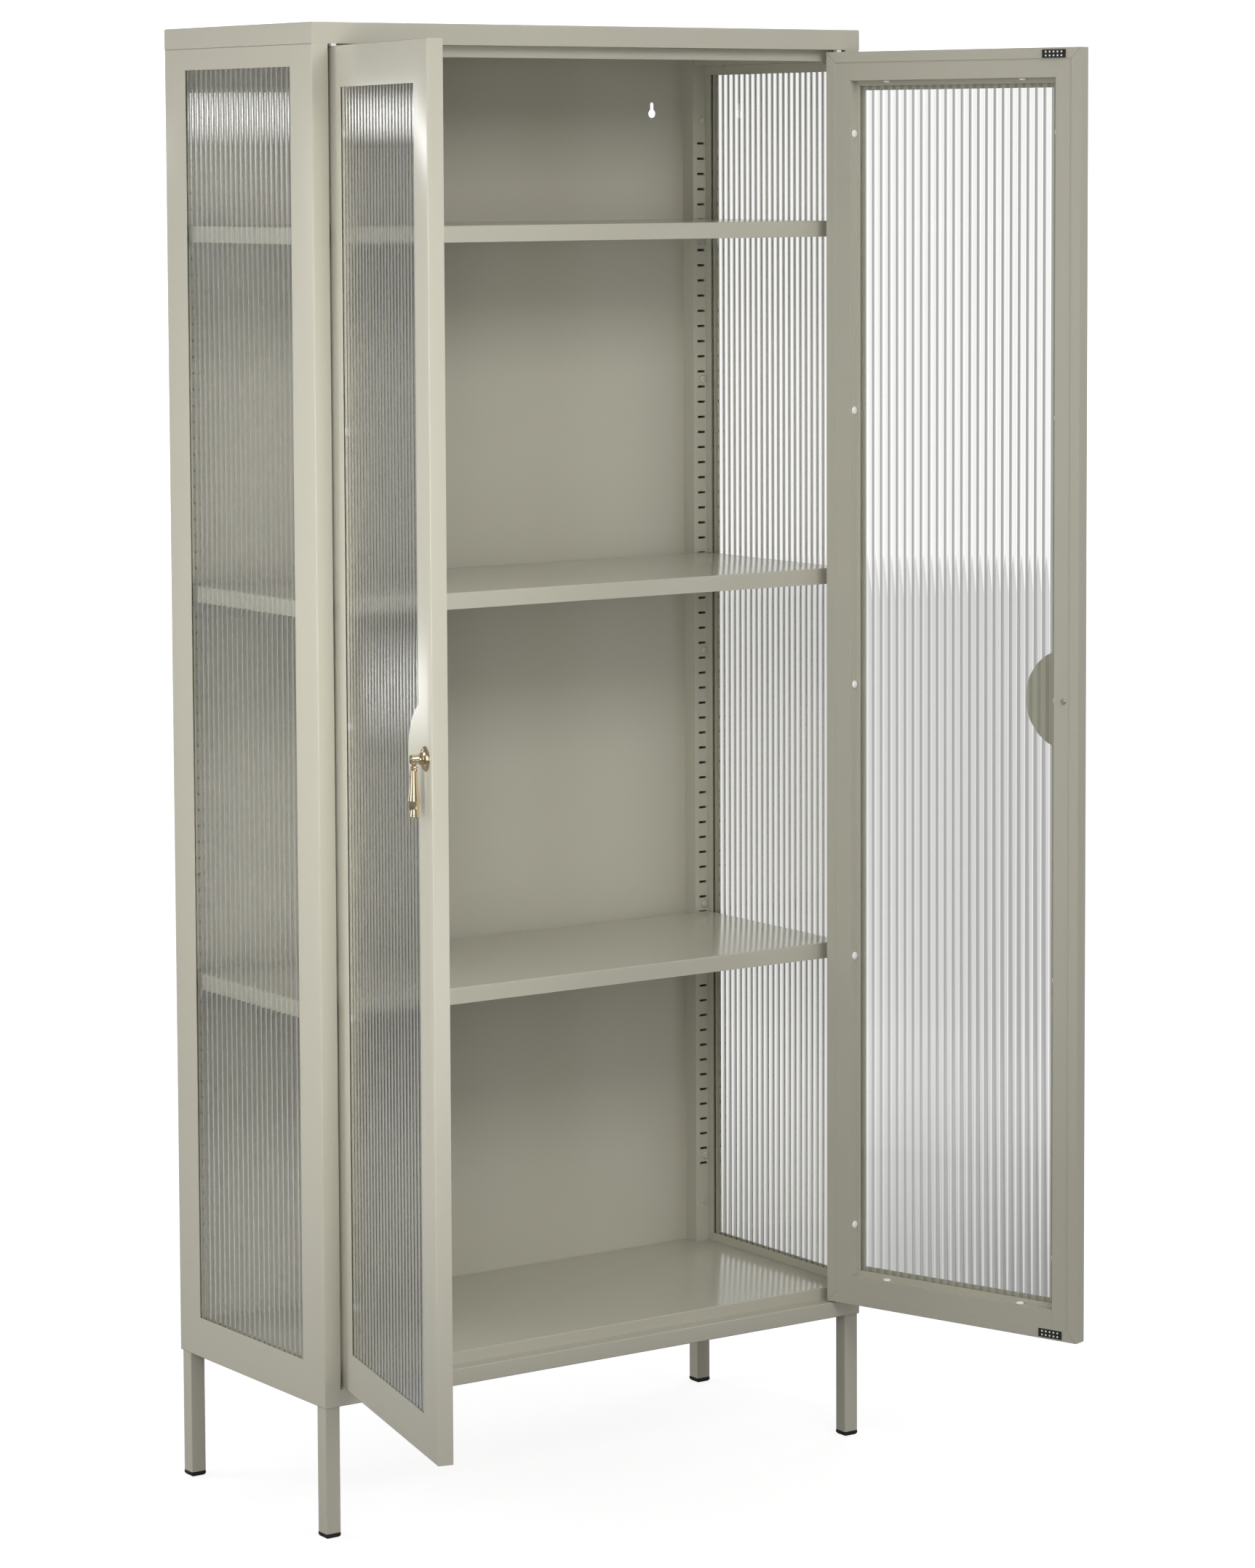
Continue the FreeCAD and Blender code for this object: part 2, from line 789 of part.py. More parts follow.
def pivot_pins():
    """Pins with square heads through the door's top and bottom walls into the bushes."""
    head_top = door_top - sheet
    pin_top = cap + sheet + bush_past_sheet + pin_past_bush
    upper = fused(
        square_bar(pin_head_size, pivot_x, (head_top - pin_head_height, head_top)),
        rod(pin_diameter, Vector(pivot_x, pivot_y, head_top), AXIS_Z, pin_top - head_top),
    )
    head_bottom = door_bottom + sheet
    pin_end = base + base_rail_height - sheet - bush_past_sheet - pin_past_bush
    lower = fused(
        square_bar(pin_head_size, pivot_x, (head_bottom, head_bottom + pin_head_height)),
        rod(pin_diameter, Vector(pivot_x, pivot_y, pin_end), AXIS_Z, head_bottom - pin_end),
    )
    return group([upper, lower])


def pivot_bush(seat, collar_end, shank_end):
    """Square nylon bush in a sheet: seat, collar end and shank end are levels on the pivot line."""
    low = min(collar_end, shank_end)
    high = max(collar_end, shank_end)
    body = fused(
        square_bar(bush_shank + 2 * bush_collar_lap, pivot_x, tuple(sorted((seat, collar_end)))),
        square_bar(bush_shank, pivot_x, tuple(sorted((seat, shank_end)))),
    )
    bore = drilled(bush_bore, Vector(pivot_x, pivot_y, low - sheet), AXIS_Z, high - low + 2 * sheet)
    return body.cut(bore)


def pivot_bushes():
    upper = pivot_bush(cap, door_top + bush_door_gap, cap + sheet + bush_past_sheet)
    rail_top = base + base_rail_height
    lower = pivot_bush(rail_top, door_bottom - bush_door_gap, rail_top - sheet - bush_past_sheet)
    return group([upper, lower, mirrored(upper), mirrored(lower)])


# Pull: a turned rosette with a forked stem, and a drop that swings on a cross pin

def pull_rosette():
    rim = rosette_diameter / 2
    stem = stem_diameter / 2
    shoulder = rosette_shoulder_diameter / 2
    body = turned([
        (rim, 0),
        (rim, rosette_rim),
        ((rim + shoulder) / 2, rosette_rim + rosette_bulge * (rosette_crown - rosette_rim)),
        (shoulder, rosette_crown),
        ((shoulder + 2 * stem) / 3, (2 * rosette_crown + stem_flare_top) / 3),
        (stem, stem_flare_top),
        (stem, stem_reach - stem_end_bevel),
        (stem - stem_end_bevel, stem_reach),
    ])
    placed = pointed(body, -AXIS_Y, Vector(pull_x, front, door_middle))
    half = tang_thickness / 2 + tang_side_gap
    eye_room = tang_eye_radius + tang_eye_gap
    fork = block(
        (pull_x - half, pull_x + half),
        (front - stem_reach - sheet, drop_axis_y + eye_room),
        (door_middle - stem_diameter, door_middle + eye_room),
    )
    across = drilled(
        drop_pin_diameter + 2 * drop_pin_seat_gap,
        Vector(pull_x - stem_diameter, drop_axis_y, door_middle),
        AXIS_X,
        2 * stem_diameter,
    )
    thread_width = pull_screw_diameter + 2 * pull_screw_thread_gap
    thread_depth = pull_screw_depth + pull_thread_past
    thread = drilled(thread_width, Vector(pull_x, front, door_middle), -AXIS_Y, thread_depth)
    return placed.cut(group([fork, across, thread]))


def pull_pin():
    length = stem_diameter - 2 * drop_pin_seat_gap
    return rod(drop_pin_diameter, Vector(pull_x - length / 2, drop_axis_y, door_middle), AXIS_X, length)


def pull_drop():
    """Turned drop: a bead, a body that flares downwards, a waist and a flared foot, below a flat tang."""
    bead_bottom = drop_bead_top + drop_bead_height
    shoulder = drop_shoulder_diameter / 2
    belly = drop_belly_diameter / 2
    waist = drop_waist_diameter / 2
    foot = drop_foot_diameter / 2
    bead = drop_bead_diameter / 2
    body = turned([
        (foot, -drop_length),
        (foot, -drop_length + drop_foot_band),
        (waist, -drop_waist_depth),
        (belly - drop_round / 2, -drop_belly_depth - 2 * drop_round),
        (belly, -drop_belly_depth),
        ((shoulder + belly) / 2 - drop_hollow, -(bead_bottom + drop_belly_depth) / 2),
        (shoulder, -bead_bottom - drop_round),
        (bead - drop_round, -bead_bottom),
        (bead, -drop_bead_top - drop_bead_height / 2),
        (bead - drop_round, -drop_bead_top),
    ])
    half = tang_thickness / 2
    eye = rod(2 * tang_eye_radius, Vector(-half, 0, 0), AXIS_X, tang_thickness)
    neck = block((-half, half), (-tang_neck / 2, tang_neck / 2), (-drop_bead_top - drop_round, 0))
    hole_width = drop_pin_diameter + 2 * drop_pin_running_gap
    hole = rod(hole_width, Vector(-stem_diameter, 0, 0), AXIS_X, 2 * stem_diameter)
    return fused(body, eye, neck).cut(hole).translated(Vector(pull_x, drop_axis_y, door_middle))


def pull_screw():
    """Screw from inside the door through stile and skin into the stem."""
    length = inner_face - front + pull_screw_depth
    body = shank(pull_screw_diameter, Vector(0, 0, -length), AXIS_Z, length)
    screw = fused(button(pull_screw_head, pull_screw_head_height), body)
    return pointed(screw, AXIS_Y, Vector(pull_x, inner_face, door_middle))


# Assembly

nodes = {}

for hand, place in (("left", lambda shape: shape), ("right", mirrored)):
    nodes[hand + "_side_frame"] = place(side_frame())
    nodes["front_" + hand + "_upright"] = place(front_upright())
    nodes["rear_" + hand + "_upright"] = place(rear_upright())
    nodes[hand + "_top_rail"] = place(side_top_rail())
    nodes["front_" + hand + "_leg"] = place(leg(leg_centres[0]))
    nodes["rear_" + hand + "_leg"] = place(leg(leg_centres[1]))
    nodes[hand + "_side_glass"] = place(side_glass())
    nodes[hand + "_side_beads"] = place(side_beads())

nodes["top_panel"] = top_panel()
nodes["back_panel"] = back_panel()
nodes["bottom_panel"] = bottom_panel()
nodes["base_front_rail"] = base_front_rail()
nodes["top_front_rail"] = top_front_rail()
nodes["pivot_bushes"] = pivot_bushes()


def both_sides(solids):
    return group(solids + [mirrored(solid) for solid in solids])


nodes["foot_glides"] = both_sides([glide(y) for y in leg_centres])
nodes["leg_bolts"] = both_sides([leg_bolt(y) for y in leg_centres])
nodes["side_bead_clips"] = both_sides(side_clips())
nodes["upright_screws"] = both_sides([upright_screw(stop_face, AXIS_Y), upright_screw(rear_face, -AXIS_Y)])

shelf_hooks = []
for name, slot in shelf_slots.items():
    nodes[name] = shelf(slot)
    shelf_hooks.append(shelf_clip(slot, stop_face, 1))
    shelf_hooks.append(shelf_clip(slot, rear_face, -1))
nodes["shelf_clips"] = both_sides(shelf_hooks)

door_pieces = {
    "door_skin": door_skin(),
    "door_hinge_stile": hinge_stile(),
    "door_free_stile": free_stile(),
    "door_top_rail": top_rail(),
    "door_bottom_rail": bottom_rail(),
    "door_glass": door_glass(),
    "door_beads": door_beads(),
    "door_bead_clips": door_clips(),
    "door_magnets": door_magnets(),
    "door_pivot_pins": pivot_pins(),
    "pull_rosette": pull_rosette(),
    "pull_pin": pull_pin(),
    "pull_screw": pull_screw(),
    "pull_drop": pull_drop(),
}
left_pivot = Vector(pivot_x, pivot_y, 0)
right_pivot = Vector(-pivot_x, pivot_y, 0)
for name, piece in door_pieces.items():
    nodes["left_" + name] = piece.rotated(left_pivot, AXIS_Z, -left_door_open)
    nodes["right_" + name] = mirrored(piece).rotated(right_pivot, AXIS_Z, right_door_open)

os.makedirs("parts", exist_ok=True)
for name, shape in nodes.items():
    shape.exportStep(os.path.join("parts", name + ".step"))
print(len(nodes), "nodes")
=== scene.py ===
import json
import math

import bmesh
import bpy
import numpy as np
from mathutils import Matrix, Vector


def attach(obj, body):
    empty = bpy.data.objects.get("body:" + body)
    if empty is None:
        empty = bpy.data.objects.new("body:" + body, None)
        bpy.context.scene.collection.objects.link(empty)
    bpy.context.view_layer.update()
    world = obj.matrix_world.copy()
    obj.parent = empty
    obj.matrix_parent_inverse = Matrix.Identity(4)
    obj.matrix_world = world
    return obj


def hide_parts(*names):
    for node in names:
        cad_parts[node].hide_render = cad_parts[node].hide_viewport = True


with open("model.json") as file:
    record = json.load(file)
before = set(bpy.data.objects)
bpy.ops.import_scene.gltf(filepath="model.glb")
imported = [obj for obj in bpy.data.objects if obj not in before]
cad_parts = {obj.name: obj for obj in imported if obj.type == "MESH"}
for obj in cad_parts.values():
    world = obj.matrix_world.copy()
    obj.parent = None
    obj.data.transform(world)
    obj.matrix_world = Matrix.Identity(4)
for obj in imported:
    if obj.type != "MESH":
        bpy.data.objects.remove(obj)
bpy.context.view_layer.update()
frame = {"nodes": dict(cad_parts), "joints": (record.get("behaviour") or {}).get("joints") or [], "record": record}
nodes = frame["nodes"]
joints = {joint["name"]: joint for joint in frame["joints"]}
groups = frame["record"]["behaviour"]["bodies"]
bodyOf = {nodeName: body for body, members in groups.items() for nodeName in members}
print("frame:", len(nodes), "nodes")


# Shader maths: a socket that can be added, multiplied and mixed

class Wire:
    def __init__(self, tree, socket):
        self.tree = tree
        self.socket = socket

    def node(self, kind, links, output=0, **settings):
        made = self.tree.nodes.new(kind)
        for key, value in settings.items():
            setattr(made, key, value)
        for key, value in links.items():
            if isinstance(value, Wire):
                self.tree.links.new(value.socket, made.inputs[key])
            else:
                made.inputs[key].default_value = value
        return Wire(self.tree, made.outputs[output])

    def maths(self, operation, first, second):
        return self.node("ShaderNodeMath", {0: first, 1: second}, operation=operation)

    def __add__(self, other):
        return self.maths("ADD", self, other)

    def __radd__(self, other):
        return self.maths("ADD", other, self)

    def __sub__(self, other):
        return self.maths("SUBTRACT", self, other)

    def __rsub__(self, other):
        return self.maths("SUBTRACT", other, self)

    def __mul__(self, other):
        return self.maths("MULTIPLY", self, other)

    def __rmul__(self, other):
        return self.maths("MULTIPLY", other, self)

    def __truediv__(self, other):
        return self.maths("DIVIDE", self, other)

    def __rtruediv__(self, other):
        return self.maths("DIVIDE", other, self)

    def vector(self, operation, *others, output=0):
        links = dict(enumerate((self, *others)))
        return self.node("ShaderNodeVectorMath", links, output, operation=operation)

    def clamped(self):
        return self.node("ShaderNodeClamp", {0: self})

    def noise(self, scale, detail=2.0):
        return self.node("ShaderNodeTexNoise", {"Vector": self, "Scale": scale, "Detail": detail})

    def blend(self, low, high):
        links = {0: self, 6: (*low, 1.0), 7: (*high, 1.0)}
        return self.node("ShaderNodeMix", links, output=2, data_type="RGBA")

    def bump(self, strength, distance):
        return self.node("ShaderNodeBump", {"Height": self, "Strength": strength, "Distance": distance})

    def into(self, socket):
        self.tree.links.new(self.socket, socket)


def newMaterial(name, constants):
    material = bpy.data.materials.new(name)
    material.use_nodes = True
    tree = material.node_tree
    shader = tree.nodes["Principled BSDF"]
    for key, value in constants.items():
        shader.inputs[key].default_value = value
    place = Wire(tree, tree.nodes.new("ShaderNodeTexCoord").outputs["Object"])
    return material, shader, place


def powderCoat():
    look = {
        "colour": (0.492, 0.474, 0.394),
        "spread": 0.02,
        "clouds": 3.0,
        "roughness": 0.15,
        "roughnessSpread": 0.10,
        "grain": 1300.0,
        "bumpStrength": 0.02,
        "bumpDepth": 0.0001,
    }
    material, shader, place = newMaterial("powderCoat", {"IOR": 1.5})
    low = tuple(c * (1 - look["spread"]) for c in look["colour"])
    high = tuple(c * (1 + look["spread"]) for c in look["colour"])
    place.noise(look["clouds"]).blend(low, high).into(shader.inputs["Base Color"])
    grain = place.noise(look["grain"])
    roughness = look["roughness"] + (grain - 0.5) * look["roughnessSpread"]
    roughness.into(shader.inputs["Roughness"])
    grain.bump(look["bumpStrength"], look["bumpDepth"]).into(shader.inputs["Normal"])
    return material


# Each rib is half clear; the other half carries painted shade in place of refraction, falling to a dark line
# at one flank and paling again towards the next rib. Shadow and diffuse rays pass straight through, so that
# light gets into the cabinet.

def ribbedGlass():
    look = {
        "flank": (0.55, 0.55, 0.53),
        "crest": (0.98, 0.98, 0.97),
        "clear": (0.93, 0.94, 0.92, 1.0),
        "start": 0.75,
        "fall": 0.48,
        "fallEdge": 0.06,
        "fallSteepness": 16.0,
        "rise": 0.92,
        "riseSteepness": 12.0,
        "ramp": 0.35,
    }
    constants = {"Transmission Weight": 1.0, "Roughness": 0.0, "IOR": 1.5}
    material, shader, place = newMaterial("ribbedGlass", constants)
    tree = material.node_tree
    ribs = place.node("ShaderNodeSeparateXYZ", {0: place.node("ShaderNodeUVMap", {})})
    across = ribs.maths("FRACT", ribs + look["start"], 0.0)
    before = ((look["fall"] + look["fallEdge"] - across) * look["fallSteepness"]).clamped()
    after = ((across - look["rise"]) * look["riseSteepness"]).clamped()
    paintedRibShade = (before + after + (across - look["fall"]) * look["ramp"]).clamped()
    # Painted shade: the dark flank lines are colour standing in for the ribs' refraction
    paintedRibShade.blend(look["flank"], look["crest"]).into(shader.inputs["Base Color"])
    path = place.node("ShaderNodeLightPath", {}, output="Is Shadow Ray")
    scattered = Wire(tree, path.socket.node.outputs["Is Diffuse Ray"])
    clear = place.node("ShaderNodeBsdfTransparent", {"Color": look["clear"]})
    solid = Wire(tree, shader.outputs["BSDF"])
    mixed = place.node("ShaderNodeMixShader", {0: path + scattered, 1: solid, 2: clear})
    mixed.into(tree.nodes["Material Output"].inputs["Surface"])
    return material


plainLook = {"grain": 300.0, "roughnessSpread": 0.06}


def plainMaterial(name, colour, roughness, metallic=0.0):
    constants = {"Base Color": (*colour, 1.0), "Metallic": metallic}
    material, shader, place = newMaterial(name, constants)
    wave = place.noise(plainLook["grain"])
    (roughness + (wave - 0.5) * plainLook["roughnessSpread"]).into(shader.inputs["Roughness"])
    return material


materials = {
    "painted_steel": powderCoat(),
    "ribbed_glass": ribbedGlass(),
    "brass": plainMaterial("champagneBrass", (0.82, 0.69, 0.48), 0.15, 1.0),
    "white_plastic": plainMaterial("whiteNylon", (0.92, 0.92, 0.90), 0.30),
    "black_plastic": plainMaterial("blackPlastic", (0.018, 0.018, 0.018), 0.45),
    "catch_plate": plainMaterial("catchPlate", (0.02, 0.02, 0.021), 0.5),
    "zinc_steel": plainMaterial("zincSteel", (0.62, 0.62, 0.60), 0.34, 1.0),
}
print("materials:", len(materials))


def register(obj, body, slotName, *stoodFor):
    obj.data.materials.clear()
    obj.data.materials.append(materials[slotName])
    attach(obj, body)
    if stoodFor:
        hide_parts(*stoodFor)
    return obj


def meshObject(name, points, faces, smooth=True):
    mesh = bpy.data.meshes.new(name)
    mesh.from_pydata(np.array(points, dtype=float).tolist(), [], faces)
    mesh.validate()
    mesh.polygons.foreach_set("use_smooth", [smooth] * len(mesh.polygons))
    mesh.update()
    obj = bpy.data.objects.new(name, mesh)
    bpy.context.scene.collection.objects.link(obj)
    return obj


# Grids of faces: quads join each ring to the next, and a fan of triangles joins a ring to a tip

def ringQuads(first, rings, around, closed=False):
    ring = np.arange(rings if closed else rings - 1)[:, None]
    step = np.arange(around)
    beside = (step + 1) % around
    onward = (ring + 1) % rings * around
    corners = [ring * around + step, ring * around + beside, onward + beside, onward + step]
    return (first + np.stack(corners, 2)).reshape(-1, 4).tolist()


def tipFan(first, around, tip):
    step = np.arange(around)
    corners = [first + step, first + (step + 1) % around, np.full(around, tip)]
    return np.stack(corners, 1).tolist()


# A profile of radius r and height h turned about Z: x = r cos(t), y = r sin(t), z = h

def turned(profile, around):
    turns = 2 * np.pi * np.arange(around) / around
    radius, height = profile[:, :1], profile[:, 1:]
    grid = [radius * np.cos(turns), radius * np.sin(turns), np.repeat(height, around, 1)]
    return np.stack(grid, 2).reshape(-1, 3)


# Points of a circle at the given angles t: x = r cos(t), y = r sin(t)

def arc(radius, angles):
    return radius * np.stack([np.cos(angles), np.sin(angles)], 1)


# Edges that bend less than the limit, in degrees, are shaded smooth; new shells also get faces outwards

def markSmooth(shell, limit):
    for edge in shell.edges:
        edge.smooth = edge.calc_face_angle(math.pi) < math.radians(limit)


def outwardSmooth(obj, limit):
    shell = bmesh.new()
    shell.from_mesh(obj.data)
    bmesh.ops.recalc_face_normals(shell, faces=shell.faces)
    markSmooth(shell, limit)
    shell.to_mesh(obj.data)
    shell.free()


mergeGap = 2e-6  # welds the loose triangles of a CAD node


# Painted sheet, legs, hooks, glides and small brass: merged copies with a fine soft edge of the listed width

softLook = {
    "widths": {"painted_steel": 0.00025, "zinc_steel": 0.0002, "black_plastic": 0.0008, "brass": 0.0003},
    "segments": 2,
    "smoothLimit": 32.0,
    "flatLimit": 0.4,
}


def softEdged(nodeName, bevel):
    obj = bpy.data.objects.new(nodeName + "Soft", nodes[nodeName].data.copy())
    bpy.context.scene.collection.objects.link(obj)
    shell = bmesh.new()
    shell.from_mesh(obj.data)
    bmesh.ops.remove_doubles(shell, verts=shell.verts, dist=mergeGap)
    flat = math.radians(softLook["flatLimit"])
    bmesh.ops.dissolve_limit(shell, angle_limit=flat, verts=shell.verts, edges=shell.edges)
    for face in shell.faces:
        face.smooth = True
    markSmooth(shell, softLook["smoothLimit"])
    shell.to_mesh(obj.data)
    shell.free()
    rounding = obj.modifiers.new("softEdge", "BEVEL")
    rounding.width = bevel
    rounding.segments = softLook["segments"]
    rounding.limit_method = "ANGLE"
    rounding.angle_limit = math.radians(softLook["smoothLimit"])
    rounding.use_clamp_overlap = True
    rounding.harden_normals = True
    return obj


slotOf = {entry["node"]: entry["material_slot"] for entry in frame["record"]["subparts"]}
lathed = ("pull_drop", "pull_rosette")
softCount = 0
for nodeName, slotName in slotOf.items():
    if slotName not in softLook["widths"] or nodeName.endswith(lathed) or nodeName == "side_bead_clips":
        continue
    copy = softEdged(nodeName, softLook["widths"][slotName])
    register(copy, bodyOf[nodeName], slotName, nodeName)
    softCount += 1
print("soft-edged copies:", softCount)


# Door pieces are made closed, as the joint's upper limit has them, and turned to the rest pose

def restTurn(body):
    hinge = joints[body + "_hinge"]
    pivot = Vector(hinge["pos_m"])
    turn = Matrix.Rotation(-math.radians(hinge["range_deg"][1]), 4, Vector(hinge["axis"]))
    return Matrix.Translation(pivot) @ turn @ Matrix.Translation(-pivot)


def swungShut(points, body):
    back = np.array(restTurn(body).inverted())
    return points @ back[:3, :3].T + back[:3, 3]


def closedPoints(nodeName, body):
    mesh = nodes[nodeName].data
    points = np.empty(len(mesh.vertices) * 3)
    mesh.vertices.foreach_get("co", points)
    points = points.reshape(-1, 3)
    return points if body == "carcass" else swungShut(points, body)


# Tucked edge of the back sheet: a plain strip from the sheet's top edge up to the cap's return

def backTuck():
    sheet = closedPoints("back_panel", "carcass")
    low, high = sheet.min(0), sheet.max(0)
    levels = (high[2], closedPoints("top_panel", "carcass").min(0)[2])
    around = [(low[0], low[1]), (high[0], low[1]), (high[0], high[1]), (low[0], high[1])]
    points = [(x, y, z) for z in levels for x, y in around]
    faces = [(3, 2, 1, 0), (4, 5, 6, 7)] + ringQuads(0, len(levels), len(around))
    strip = meshObject("backTuck", points, faces, smooth=False)
    return register(strip, "carcass", "painted_steel")


backTuck()
print("back tuck")


# Ribbed panes. Across the pane the face is a row of circular arcs, set back by R - sqrt(R^2 - u^2) with u
# measured from each rib's middle; the outline runs round the pane and is carried straight up. The first
# UV value counts ribs from the pane's middle, and is held at the clear half on the flat back.

paneLook = {
    "pitch": 0.012,
    "rib": 0.0008,
    "samples": 14,
    "slack": 1e-6,
    "flatUnit": 0.5,
    "smoothLimit": 12.0,
}


def ribbedOutline(width, thickness):
    pitch = paneLook["pitch"]
    rise = paneLook["rib"]
    radius = ((pitch / 2) ** 2 + rise**2) / (2 * rise)
    count = int(width / pitch + paneLook["slack"])
    margin = (width - count * pitch) / 2
    ticks = np.arange(count * paneLook["samples"] + 1) / paneLook["samples"]
    offset = (ticks % 1.0 - 0.5) * pitch
    depth = radius - np.sqrt(radius**2 - offset**2)
    face = np.stack([margin + ticks * pitch, np.minimum(depth, rise)], 1)
    ends = [(0.0, rise), *face, (width, rise), (width, thickness), (0.0, thickness)]
    return np.array(ends)


def ribbedPane(name, low, high, across, outward):
    width = (high - low)[across]
    deep = 1 - across
    outline = ribbedOutline(width, (high - low)[deep])
    points = np.empty((2, len(outline), 3))
    points[:, :, across] = low[across] + outline[:, 0]
    points[:, :, deep] = low[deep] + outline[:, 1] if outward < 0 else high[deep] - outline[:, 1]
    points[0, :, 2] = low[2]
    points[1, :, 2] = high[2]
    count = len(outline)
    ends = [list(range(count))[::-1], list(range(count, 2 * count))]
    faces = ringQuads(0, 2, count) + ends
    pane = meshObject(name, points.reshape(-1, 3), faces)
    ribUnits = np.tile((outline[:, 0] - width / 2) / paneLook["pitch"], 2)
    order = np.empty(len(pane.data.loops), dtype=int)
    pane.data.loops.foreach_get("vertex_index", order)
    spread = np.stack([ribUnits[order], points.reshape(-1, 3)[order, 2]], 1)
    flatFace = pane.data.polygons[count - 2]  # the wall between the outline's last two points
    flatLoops = slice(flatFace.loop_start, flatFace.loop_start + flatFace.loop_total)
    spread[flatLoops, 0] = paneLook["flatUnit"]
    pane.data.uv_layers.new(name="ribs").data.foreach_set("uv", spread.ravel())
    outwardSmooth(pane, paneLook["smoothLimit"])
    return pane


for hand in ("left", "right"):
    doorName = hand + "_door"
    points = closedPoints(doorName + "_glass", doorName)
    pane = ribbedPane(hand + "DoorPane", points.min(0), points.max(0), 0, -1)
    pane.data.transform(restTurn(doorName))
    register(pane, doorName, "ribbed_glass", doorName + "_glass")
    points = closedPoints(hand + "_side_glass", "carcass")
    outward = -1 if hand == "left" else 1
    pane = ribbedPane(hand + "SidePane", points.min(0), points.max(0), 1, outward)
    register(pane, "carcass", "ribbed_glass", hand + "_side_glass")
print("panes: 4")


# Separate lumps of one node, each as its own array of points

def islands(nodeName):
    mesh = nodes[nodeName].data
    shell = bmesh.new()
    shell.from_mesh(mesh)
    bmesh.ops.remove_doubles(shell, verts=shell.verts, dist=mergeGap)
    waiting = set(shell.verts)
    found = []
    while waiting:
        stack = [waiting.pop()]
        group = []
        while stack:
            vertex = stack.pop()
            group.append(vertex.co.copy())
            for edge in vertex.link_edges:
                other = edge.other_vert(vertex)
                if other in waiting:
                    waiting.remove(other)
                    stack.append(other)
        found.append(np.array(group))
    shell.free()
    return found


# Buttons: a low dome turned about its axis, radius = R cos(t)^power and height = h (rim + (1 - rim) sin(t))

domeLook = {
    "around": 28,
    "up": 7,
    "rim": 0.3,
    "power": 0.7,
    "aside": (0.31, 0.52, 0.79),
    "ringGap": 1e-5,
}


def domeAxis(points):
    middle = points.mean(0)
    spread = np.linalg.eigh((points - middle).T @ (points - middle))[1]
    axis = spread[:, 0]
    along = (points - middle) @ axis
    radii = np.linalg.norm((points - middle) - np.outer(along, axis), axis=1)
    top = radii[along > along.max() - domeLook["ringGap"]].max()
    bottom = radii[along < along.min() + domeLook["ringGap"]].max()
    if top > bottom:
        axis = -axis
        along = -along
    seat = middle + axis * along.min()
    return seat, axis, radii.max(), along.max() - along.min()


def domePoints(seat, axis, radius, height):
    side = np.cross(axis, domeLook["aside"])
    side /= np.linalg.norm(side)
    other = np.cross(axis, side)
    turns = 2 * np.pi * np.arange(domeLook["around"]) / domeLook["around"]
    rises = np.linspace(0, np.pi / 2, domeLook["up"] + 1)[:-1]
    radii = np.concatenate([[radius], radius * np.cos(rises) ** domeLook["power"]])
    swell = domeLook["rim"] + (1 - domeLook["rim"]) * np.sin(rises)
    levels = np.concatenate([[0.0], height * swell])
    ring = np.outer(np.cos(turns), side) + np.outer(np.sin(turns), other)
    points = seat + radii[:, None, None] * ring[None] + levels[:, None, None] * axis
    return points, seat + axis * height


def domes(name, places):
    points = []
    faces = []
    around = domeLook["around"]
    for place in places:
        rings, crown = domePoints(*place)
        first = len(points)
        points.extend([*rings.reshape(-1, 3), crown])
        top = len(points) - 1
        faces += ringQuads(first, len(rings), around)
        faces += tipFan(top - around, around, top)
        faces.append(list(range(first, first + around))[::-1])
    return meshObject(name, points, faces)


for nodeName in ("left_door_bead_clips", "right_door_bead_clips", "side_bead_clips"):
    places = [domeAxis(points) for points in islands(nodeName)]
    made = domes(nodeName.replace("_", "") + "Domes", places)
    register(made, bodyOf[nodeName], slotOf[nodeName], nodeName)
print("clip domes")


# Catch plates: two rows of pale dots on each black plate

dotLook = {
    "across": 5,
    "rows": 2,
    "pitch": 0.0056,
    "rowPitch": 0.0046,
    "radius": 0.0012,
    "height": 0.00025,
}


def plateDots(hand):
    body = hand + "_door"
    turn = np.array(restTurn(body))
    found = []
    for points in islands(body + "_magnets"):
        closed = swungShut(points, body)
        low, high = closed.min(0), closed.max(0)
        middle = (low + high) / 2
        for column in range(dotLook["across"]):
            for row in range(dotLook["rows"]):
                x = middle[0] + (column - (dotLook["across"] - 1) / 2) * dotLook["pitch"]
                z = middle[2] + (row - (dotLook["rows"] - 1) / 2) * dotLook["rowPitch"]
                seat = turn[:3, :3] @ np.array((x, high[1], z)) + turn[:3, 3]
                axis = turn[:3, :3] @ np.array((0.0, 1.0, 0.0))
                found.append((seat, axis, dotLook["radius"], dotLook["height"]))
    return register(domes(hand + "PlateDots", found), body, "white_plastic")


for hand in ("left", "right"):
    plateDots(hand)
print("catch plate dots")


# Drops: a smooth spline profile turned about the drop's own axis, joined to a flat tang with an eye.
# Profile radius r(s) and depth d(s) are Catmull-Rom curves through the listed pairs, in millimetres.
# The tang's sizes are in metres; the bore's last two points, given in half turns, face the tang's foot.

mmPerMetre = 1000.0

